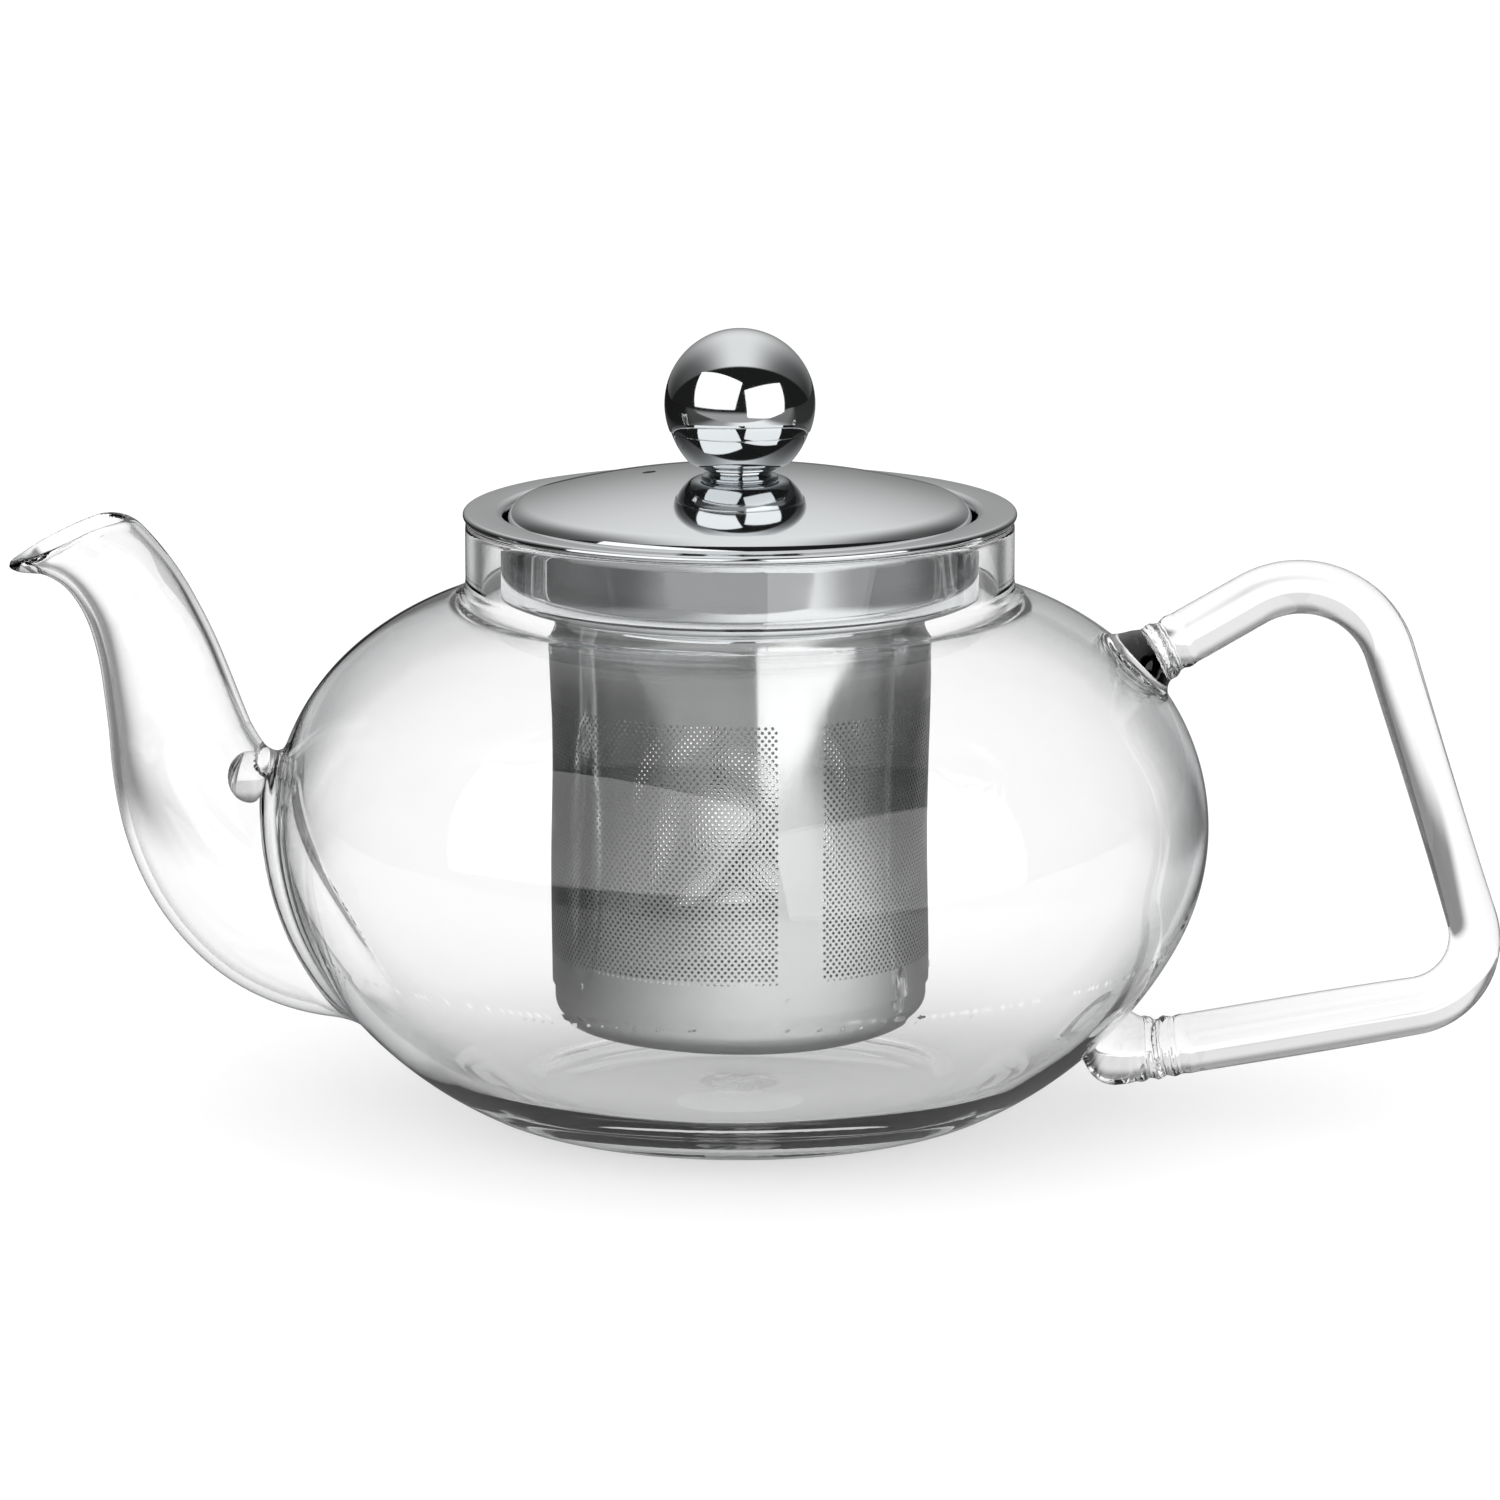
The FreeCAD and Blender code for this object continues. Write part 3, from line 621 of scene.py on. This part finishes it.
def make_rim():
    """Spun rim: rolled bead, flange turned down into the collar, the step and the inner skirt."""
    low, high = span("infuser_rim")
    metal = 0.5
    bead = 0.6
    turn = 0.9
    edge = high.x
    under = high.z - 2 * bead
    top = high.z
    collar = 35.7
    foot = 80.0
    step = (34.2, 78.1)
    skirt = BASKET_RADIUS - WALL_METAL
    corners = [
        (skirt, low.z, None),
        (skirt, 75.5, (1.0, -1, 6)),
        (skirt + 1.0, 76.6, None),
        (*step, (2.0, 1, 12)),
        (collar, foot, None),
        (collar, top - metal - turn, (turn, -1, 8)),
        (collar + turn, top - metal, None),
        (edge - bead * 1.9, top - metal, None),
        (edge - bead * 1.6, under + bead, (bead, 1, 3)),
        (edge - bead, under, (bead, 1, 8)),
        (edge, under + bead, (bead, 1, 8)),
        (edge - bead, top, None),
        (collar + turn, top, (turn + metal, 1, 12)),
        (collar - metal, top - metal - turn, None),
        (collar - metal, foot, (1.5, -1, 10)),
        (step[0] - 0.1, step[1] + metal, None),
        (skirt + 0.9, 77.1, (1.5, 1, 6)),
        (skirt - metal, 75.5, None),
        (skirt - metal, low.z, None),
    ]
    return lathe("infuser_rim_spun", corners, "infuser", ["infuser_rim"], 320)


def make_base_cup():
    """Drawn cup under the basket with a tight bottom corner."""
    low, high = span("infuser_base")
    metal = 0.4
    corner = 3.2
    side = BASKET_RADIUS - WALL_METAL
    corners = [
        (0.0, low.z, None),
        (side - corner, low.z, (corner, 1, 16)),
        (side, low.z + corner, None),
        (side, high.z, None),
        (side - metal, high.z, None),
        (side - metal, low.z + corner, (corner - metal, -1, 16)),
        (side - corner, low.z + metal, None),
        (0.0, low.z + metal, None),
    ]
    return lathe("infuser_base_cup", corners, "infuser", ["infuser_base"], 256)


# ---- lid ----

VENT_REACH = 14.0
VENT_TURN = math.radians(14.0)
VENT_RADIUS = 1.05


def drill(piece, place, radius, sides=40):
    """Cuts an upright round hole through a piece."""
    turns = np.arange(sides) * (2 * math.pi / sides)
    rings = [[(place[0] + radius * math.cos(t), place[1] + radius * math.sin(t), z) for t in turns]
             for z in (60.0, 120.0)]
    faces = [[k, (k + 1) % sides, sides + (k + 1) % sides, sides + k] for k in range(sides)]
    faces += [list(range(sides))[::-1], list(range(sides, 2 * sides))]
    mesh = bpy.data.meshes.new("drill")
    mesh.from_pydata(np.array(rings[0] + rings[1]) * MM, [], faces)
    tool = bpy.data.objects.new("drill", mesh)
    bpy.context.scene.collection.objects.link(tool)
    cut = piece.modifiers.new("vent", "BOOLEAN")
    cut.operation = "DIFFERENCE"
    cut.solver = "EXACT"
    cut.object = tool
    graph = bpy.context.evaluated_depsgraph_get()
    made = bpy.data.meshes.new_from_object(piece.evaluated_get(graph))
    piece.modifiers.clear()
    piece.data = made
    sharpen(made, 30.0)
    bpy.data.objects.remove(tool)


def make_dome():
    """Shallow dome with a rounded shoulder and a short upright side, vent hole drilled through."""
    low, high = span("lid_dome")
    metal = 0.6
    hole = 2.1
    edge = high.x
    arc = 120.0
    top = 98.0
    shoulder = 3.5
    centre = top - arc
    hub = arc - shoulder
    reach = edge - shoulder
    lift = math.sqrt(hub ** 2 - reach ** 2)

    def height(radius, depth=0.0):
        return centre + math.sqrt((arc - depth) ** 2 - radius ** 2)

    def shoulder_start(depth=0.0):
        share = (arc - depth) / hub
        return reach * share, centre + lift * share

    corners = [
        (hole, height(hole, metal), (arc - metal, -1, 48)),
        (*shoulder_start(metal), (shoulder - metal, -1, 12)),
        (edge - metal, centre + lift, None),
        (edge - metal, low.z, None),
        (edge, low.z, None),
        (edge, centre + lift, (shoulder, 1, 20)),
        (*shoulder_start(), (arc, 1, 64)),
        (hole, height(hole), None),
    ]
    dome = lathe("lid_dome_polished", corners, "lid", ["lid_dome"], 320)
    drill(dome, (-VENT_REACH * math.cos(VENT_TURN), VENT_REACH * math.sin(VENT_TURN)), VENT_RADIUS)
    return dome


def make_knob():
    ball = span("knob_upper_shell")[1].x
    seam = span("knob_upper_shell")[0].z
    centre = span("knob_upper_shell")[1].z - ball
    base = span("knob_lower_shell")[0].z
    metal = 0.6
    drop = centre - seam
    waist = math.sqrt(ball * ball - drop * drop)
    inner = ball - metal
    waist_in = math.sqrt(inner * inner - drop * drop)
    lathe("knob_upper", [
        (waist, seam, (ball, 1, 24)),
        (ball, centre, (ball, 1, 48)),
        (0.0, centre + ball, None),
        (0.0, centre + inner, (inner, -1, 32)),
        (inner, centre, (inner, -1, 12)),
        (waist_in, seam, None),
    ], "lid", ["knob_upper_shell"], 256)
    lathe("knob_lower", [
        (2.1, base, None),
        (5.9, base, (2.3, 1, 8)),
        (8.1, 99.9, (12.4, 1, 20)),
        (waist - 0.22, seam - 0.14, (0.12, 1, 3)),
        (waist - 0.32, seam - 0.02, None),
        (waist_in, seam - 0.02, (12.0, -1, 12)),
        (7.8, 100.6, (2.0, -1, 6)),
        (5.9, base + metal, None),
        (2.1, base + metal, None),
    ], "lid", ["knob_lower_shell"], 256)
    low = span("knob_neck")[0]
    lathe("knob_neck_turned", [
        (2.1, low.z + 0.1, None),
        (4.95, low.z, (0.3, -1, 3)),
        (4.8, low.z + 0.25, None),
        (4.8, base - 0.55, None),
        (5.45, base - 0.55, (0.35, 1, 5)),
        (5.85, base - 0.2, (0.3, 1, 3)),
        (5.7, base, None),
        (2.1, base, None),
    ], "lid", ["knob_neck"], 192)


# ---- materials ----

def new_material(name):
    material = bpy.data.materials.new(name)
    material.use_nodes = True
    nodes = material.node_tree.nodes
    nodes.clear()
    out = nodes.new("ShaderNodeOutputMaterial")
    shader = nodes.new("ShaderNodeBsdfPrincipled")
    material.node_tree.links.new(shader.outputs[0], out.inputs["Surface"])
    return material, nodes, material.node_tree.links, shader


def place_coordinates(nodes, links, scale):
    """Object coordinates stretched by scale, for grain that follows the working of the piece."""
    where = nodes.new("ShaderNodeTexCoord")
    mapping = nodes.new("ShaderNodeMapping")
    mapping.inputs["Scale"].default_value = scale
    links.new(where.outputs["Object"], mapping.inputs["Vector"])
    return mapping.outputs["Vector"]


def noise(nodes, links, vector, scale, detail=3.0, rough=0.5):
    node = nodes.new("ShaderNodeTexNoise")
    node.inputs["Scale"].default_value = scale
    node.inputs["Detail"].default_value = detail
    node.inputs["Roughness"].default_value = rough
    if vector is not None:
        links.new(vector, node.inputs["Vector"])
    return node.outputs["Fac"]


def spread(nodes, links, value, low, high, start=0.3, end=0.7):
    node = nodes.new("ShaderNodeMapRange")
    node.inputs["From Min"].default_value = start
    node.inputs["From Max"].default_value = end
    node.inputs["To Min"].default_value = low
    node.inputs["To Max"].default_value = high
    links.new(value, node.inputs["Value"])
    return node.outputs["Result"]


class Graph:
    """Short forms for arithmetic nodes."""

    def __init__(self, tree):
        self.nodes, self.links = tree.nodes, tree.links

    def math(self, operation, *values):
        node = self.nodes.new("ShaderNodeMath")
        node.operation = operation
        for socket, value in zip(node.inputs, values):
            if isinstance(value, (int, float)):
                socket.default_value = value
            else:
                self.links.new(value, socket)
        return node.outputs[0]

    def length(self, x, y):
        """Length of the arrow from the origin to (x, y)."""
        squares = self.math("ADD", self.math("MULTIPLY", x, x), self.math("MULTIPLY", y, y))
        return self.math("SQRT", squares)

    def ramp(self, value, start, end, low, high):
        node = self.nodes.new("ShaderNodeMapRange")
        node.interpolation_type = "SMOOTHSTEP"
        for name, number in (("From Min", start), ("From Max", end), ("To Min", low), ("To Max", high)):
            node.inputs[name].default_value = number
        self.links.new(value, node.inputs["Value"])
        return node.outputs["Result"]


WHITE = (1.0, 1.0, 1.0, 1.0)
PONTIL_RADIUS = 0.0067
GLASS_IOR = 1.47
PAINTED_EDGE_SHADE = (0.26, 0.28, 0.29, 1.0)


def glass_material():
    """Clear glass, a little greyer as painted shade where the wall is seen edge on, with the ground mark
    under the foot.
    """
    material, nodes, links, shader = new_material("clear_glass")
    shader.inputs["Base Color"].default_value = WHITE
    shader.inputs["Transmission Weight"].default_value = 1.0
    shader.inputs["Roughness"].default_value = 0.0
    shader.inputs["IOR"].default_value = GLASS_IOR
    # Painted shade: the glass colour turns grey where the wall is seen edge on, standing in for dark
    # surroundings.
    facing = nodes.new("ShaderNodeLayerWeight")
    facing.inputs["Blend"].default_value = 0.5
    tint = nodes.new("ShaderNodeMix")
    tint.data_type = "RGBA"
    tint.inputs[6].default_value = WHITE
    tint.inputs[7].default_value = PAINTED_EDGE_SHADE
    links.new(spread(nodes, links, facing.outputs["Facing"], 0.0, 1.0, 0.56, 0.96), tint.inputs[0])
    links.new(tint.outputs[2], shader.inputs["Base Color"])
    g = Graph(material.node_tree)
    split = nodes.new("ShaderNodeSeparateXYZ")
    links.new(place_coordinates(nodes, links, (1, 1, 1)), split.inputs[0])
    across, along, up = split.outputs
    radius = g.length(across, along)
    rough = noise(nodes, links, place_coordinates(nodes, links, (1, 1, 1)), 420.0, 4.0)
    mark = g.math("MULTIPLY", g.ramp(radius, PONTIL_RADIUS * 0.8, PONTIL_RADIUS, 1.0, 0.0),
                  g.ramp(up, 0.002, 0.003, 1.0, 0.0))
    mark = g.math("MULTIPLY", mark, g.ramp(rough, 0.35, 0.6, 0.3, 1.0))
    links.new(g.math("MULTIPLY", mark, 0.45), shader.inputs["Roughness"])
    bump = nodes.new("ShaderNodeBump")
    bump.inputs["Strength"].default_value = 0.05
    bump.inputs["Distance"].default_value = 0.0004
    vector = place_coordinates(nodes, links, (1.0, 1.0, 0.6))
    links.new(noise(nodes, links, vector, 45.0, 2.0), bump.inputs["Height"])
    links.new(bump.outputs["Normal"], shader.inputs["Normal"])
    return material


def steel_material(name, colour, rough_low, rough_high, grain_scale, bump_size):
    """Bare stainless steel: colour, roughness range, grain direction and depth."""
    material, nodes, links, shader = new_material(name)
    shader.inputs["Metallic"].default_value = 1.0
    vector = place_coordinates(nodes, links, grain_scale)
    grain = noise(nodes, links, vector, 60.0, 4.0, 0.6)
    cloud = noise(nodes, links, place_coordinates(nodes, links, (1, 1, 1)), 35.0, 3.0)
    tint = nodes.new("ShaderNodeMix")
    tint.data_type = "RGBA"
    tint.inputs[6].default_value = (*[c * 0.93 for c in colour], 1.0)
    tint.inputs[7].default_value = (*colour, 1.0)
    links.new(cloud, tint.inputs[0])
    links.new(tint.outputs[2], shader.inputs["Base Color"])
    links.new(spread(nodes, links, grain, rough_low, rough_high), shader.inputs["Roughness"])
    bump = nodes.new("ShaderNodeBump")
    bump.inputs["Strength"].default_value = 0.2
    bump.inputs["Distance"].default_value = bump_size
    links.new(grain, bump.inputs["Height"])
    links.new(bump.outputs["Normal"], shader.inputs["Normal"])
    return material


def dress(materials):
    """Gives every CAD node the material of its slot in the record, and every piece the one named here."""
    slots = {entry["node"]: entry["material_slot"] for entry in frame["record"]["subparts"]}
    for node, obj in frame["nodes"].items():
        obj.data.materials.clear()
        obj.data.materials.append(materials[slots[node]])
    chosen = {
        "pot_glass": "glass", "infuser_wall_perforated": "sheet_steel", "infuser_rim_spun": "polished_steel",
        "infuser_base_cup": "sheet_steel", "lid_dome_polished": "polished_steel",
        "knob_upper": "polished_steel", "knob_lower": "polished_steel", "knob_neck_turned": "polished_steel",
    }
    for name, slot_name in chosen.items():
        piece = bpy.data.objects[name]
        piece.data.materials.clear()
        piece.data.materials.append(materials[slot_name])


# ---- studio ----

FLOOR_TONE = 0.42
FLOOR_PAINTED_GLOW = 0.60
FLOOR_LOW = (-1.6, -0.30)
FLOOR_HIGH = (1.6, 2.4)
FLOOR_DROP = 0.0002
LIGHT_AIM = (0.0, 0.0, 0.10)
SOFTBOX_DISTANCE = 1.1
SOFTBOX_RADIANCE = 1.4


def ray_shares(g, nodes):
    """Three factors adding up to one, by the kind of ray: straight or lighting a surface, through glass,
    mirrored. They make floor and world look different to each kind, which real ones would not.
    """
    path = nodes.new("ShaderNodeLightPath")
    seen_or_lighting = g.math("ADD", path.outputs["Is Camera Ray"], path.outputs["Is Diffuse Ray"])
    straight = g.math("MINIMUM", seen_or_lighting, 1.0)
    once = g.math("COMPARE", path.outputs["Glossy Depth"], 1.0, 0.5)
    steel = g.math("MULTIPLY", once, g.math("GREATER_THAN", path.outputs["Transmission Depth"], 3.5))
    through = g.math("MULTIPLY", path.outputs["Is Transmission Ray"], g.math("SUBTRACT", 1.0, steel))
    through = g.math("MULTIPLY", through, g.math("SUBTRACT", 1.0, straight))
    mirrored = g.math("SUBTRACT", g.math("SUBTRACT", 1.0, straight), through)
    return straight, through, mirrored


def add_floor():
    """A floor that is plain to straight rays, has painted shade, dark wedges and a dark front, to rays
    through glass, and a painted reflection pattern to mirrored rays. It glows as well, a painted light,
    except to mirrored rays.
    """
    low, high = FLOOR_LOW, FLOOR_HIGH
    mesh = bpy.data.meshes.new("floor")
    corners = [(low[0], low[1], 0), (high[0], low[1], 0), (high[0], high[1], 0), (low[0], high[1], 0)]
    mesh.from_pydata(corners, [], [(0, 1, 2, 3)])
    floor = bpy.data.objects.new("floor", mesh)
    floor.location.z = -FLOOR_DROP
    bpy.context.scene.collection.objects.link(floor)
    material, nodes, links, shader = new_material("floor_paper_painted_light")
    g = Graph(material.node_tree)
    place = nodes.new("ShaderNodeNewGeometry")
    split = nodes.new("ShaderNodeSeparateXYZ")
    links.new(place.outputs["Position"], split.inputs[0])
    x, y, _ = split.outputs
    reach = g.length(x, y)
    away = g.math("DIVIDE", y, g.math("MAXIMUM", reach, 0.001))
    # Painted shade: to rays through glass the floor is darker in two wedges beyond the pot and towards the
    # front.
    painted_shade_wedge = g.math("MULTIPLY", g.ramp(away, 0.25, 0.50, 0.0, 1.0), g.ramp(away, 0.82, 0.94, 1.0, 0.0))
    painted_shade_wedge = g.math("MULTIPLY", painted_shade_wedge, g.ramp(reach, 0.17, 0.26, 0.0, 0.80))
    clear = g.math("MULTIPLY", g.math("SUBTRACT", 1.0, painted_shade_wedge), g.ramp(y, -0.42, 0.0, 0.55, 1.0))
    # Painted reflection: a tone pattern, lighter to the right and darker behind and far out, that only
    # mirrored rays see.
    ahead = g.math("MULTIPLY", g.ramp(x, -0.14, 0.03, 0.62, 1.9), g.ramp(y, -0.10, 0.06, 1.0, 0.2))
    ahead = g.math("MULTIPLY", ahead, g.ramp(g.math("ABSOLUTE", x), 0.16, 0.30, 1.0, 0.2))
    straight, through, mirrored = ray_shares(g, nodes)
    tone = g.math("ADD", straight, g.math("ADD", g.math("MULTIPLY", through, clear),
                                          g.math("MULTIPLY", mirrored, ahead)))
    # Painted light: the floor glows to straight rays and rays through glass, though it is no lamp.
    links.new(g.math("MULTIPLY", g.math("ADD", g.math("MULTIPLY", through, clear), straight), FLOOR_PAINTED_GLOW),
              shader.inputs["Emission Strength"])
    shader.inputs["Emission Color"].default_value = WHITE
    tone = g.math("MULTIPLY", tone, FLOOR_TONE)
    paint = nodes.new("ShaderNodeCombineColor")
    for socket in paint.inputs:
        links.new(tone, socket)
    links.new(paint.outputs[0], shader.inputs["Base Color"])
    shader.inputs["Roughness"].default_value = 0.9
    shader.inputs["Specular IOR Level"].default_value = 0.0
    mesh.materials.append(material)


def add_area(name, place, target, width, height, radiance):
    """A softbox whose face has this radiance."""
    data = bpy.data.lights.new(name, "AREA")
    data.shape = "RECTANGLE"
    data.size = width
    data.size_y = height
    data.energy = radiance * math.pi * width * height
    lamp = bpy.data.objects.new(name, data)
    lamp.location = place
    lamp.rotation_euler = (Vector(target) - Vector(place)).to_track_quat("-Z", "Y").to_euler()
    bpy.context.scene.collection.objects.link(lamp)
    return lamp


def add_world():
    """White to straight rays, cards and shades to rays through glass, and a tent of light above and behind
    with a dark room in front to mirrored rays.
    """
    world = bpy.data.worlds.new("studio")
    bpy.context.scene.world = world
    world.use_nodes = True
    nodes, links = world.node_tree.nodes, world.node_tree.links
    nodes.clear()
    g = Graph(world.node_tree)
    where = nodes.new("ShaderNodeTexCoord")
    split = nodes.new("ShaderNodeSeparateXYZ")
    links.new(where.outputs["Generated"], split.inputs[0])
    x, y, z = split.outputs
    across = g.math("ABSOLUTE", x)
    tilt = g.math("ADD", g.math("MULTIPLY", y, 0.70), g.math("MULTIPLY", z, 0.715))
    tent = g.ramp(tilt, 0.36, 0.42, 0.0, 1.0)
    side = g.ramp(across, 0.10, 0.85, 0.95, 0.14)
    lift = g.ramp(z, -0.05, 0.75, 0.28, 1.0)
    light = g.math("MULTIPLY", g.math("MULTIPLY", tent, side), lift)
    below = g.ramp(z, -0.16, -0.05, 1.0, 0.0)
    ground = g.math("MULTIPLY", below, g.ramp(y, -0.10, 0.35, 0.42, 0.10))
    room = g.math("MAXIMUM", g.math("MULTIPLY", light, g.math("SUBTRACT", 1.0, below)),
                  g.math("MAXIMUM", ground, 0.015))

    level = g.length(x, y)
    away = g.math("DIVIDE", y, g.math("MAXIMUM", level, 0.001))
    card = g.ramp(away, 0.80, 0.95, 0.0, 0.66)
    sideways = g.ramp(g.math("ABSOLUTE", away), 0.10, 0.40, 1.0, 0.0)
    wing = g.math("MULTIPLY", sideways, g.ramp(x, -0.3, 0.3, 0.14, 0.10))
    near = g.ramp(away, -0.5, -0.2, 0.18, 0.0)
    high = g.ramp(z, 0.22, 0.50, 1.0, 0.35)
    shade = g.ramp(x, -0.3, 0.3, 0.14, 0.07)
    through = g.math("MULTIPLY", g.math("ADD", g.math("ADD", shade, card), g.math("ADD", wing, near)), high)

    straight, clear, mirrored = ray_shares(g, nodes)
    path = nodes.new("ShaderNodeLightPath")
    dim = g.math("MULTIPLY", path.outputs["Is Transmission Ray"], 0.15)
    room = g.math("MAXIMUM", room, dim)
    strength = g.math("ADD", g.math("MULTIPLY", straight, 1.05),
                      g.math("ADD", g.math("MULTIPLY", room, mirrored), g.math("MULTIPLY", through, clear)))
    back = nodes.new("ShaderNodeBackground")
    back.inputs["Color"].default_value = WHITE
    links.new(strength, back.inputs["Strength"])
    out = nodes.new("ShaderNodeOutputWorld")
    links.new(back.outputs[0], out.inputs["Surface"])


def around(azimuth, elevation):
    """A softbox's place at an angle from the camera's side of the pot, azimuth to the right."""
    a, e = math.radians(azimuth), math.radians(elevation)
    level = SOFTBOX_DISTANCE * math.cos(e)
    return (level * math.sin(a), -level * math.cos(a), LIGHT_AIM[2] + SOFTBOX_DISTANCE * math.sin(e))


def add_lights():
    add_area("left_softbox", around(-40, 25), LIGHT_AIM, 1.55, 1.05, SOFTBOX_RADIANCE)
    add_area("right_softbox", around(41, 10), LIGHT_AIM, 1.32, 0.96, SOFTBOX_RADIANCE)


def set_render_look():
    scene = bpy.context.scene
    scene.view_settings.view_transform = "Standard"
    scene.view_settings.look = "None"
    scene.cycles.max_bounces = 24
    scene.cycles.transmission_bounces = 24
    scene.cycles.glossy_bounces = 12
    scene.cycles.transparent_max_bounces = 16
    scene.cycles.caustics_reflective = False
    scene.cycles.caustics_refractive = True
    scene.cycles.sample_clamp_indirect = 8.0


add_camera()
make_pot_glass()
make_perforated_wall()
make_rim()
make_base_cup()
make_dome()
make_knob()
dress({
    "glass": glass_material(),
    "polished_steel": steel_material("polished_steel", (0.76, 0.78, 0.79), 0.03, 0.07, (1, 1, 6), 0.000005),
    "sheet_steel": steel_material("sheet_steel", (0.66, 0.67, 0.67), 0.07, 0.15, (3, 3, 0.3), 0.00001),
    "hardware_steel": steel_material("hardware_steel", (0.6, 0.6, 0.6), 0.2, 0.35, (1, 1, 12), 0.00002),
})
add_floor()
add_world()
add_lights()
set_render_look()
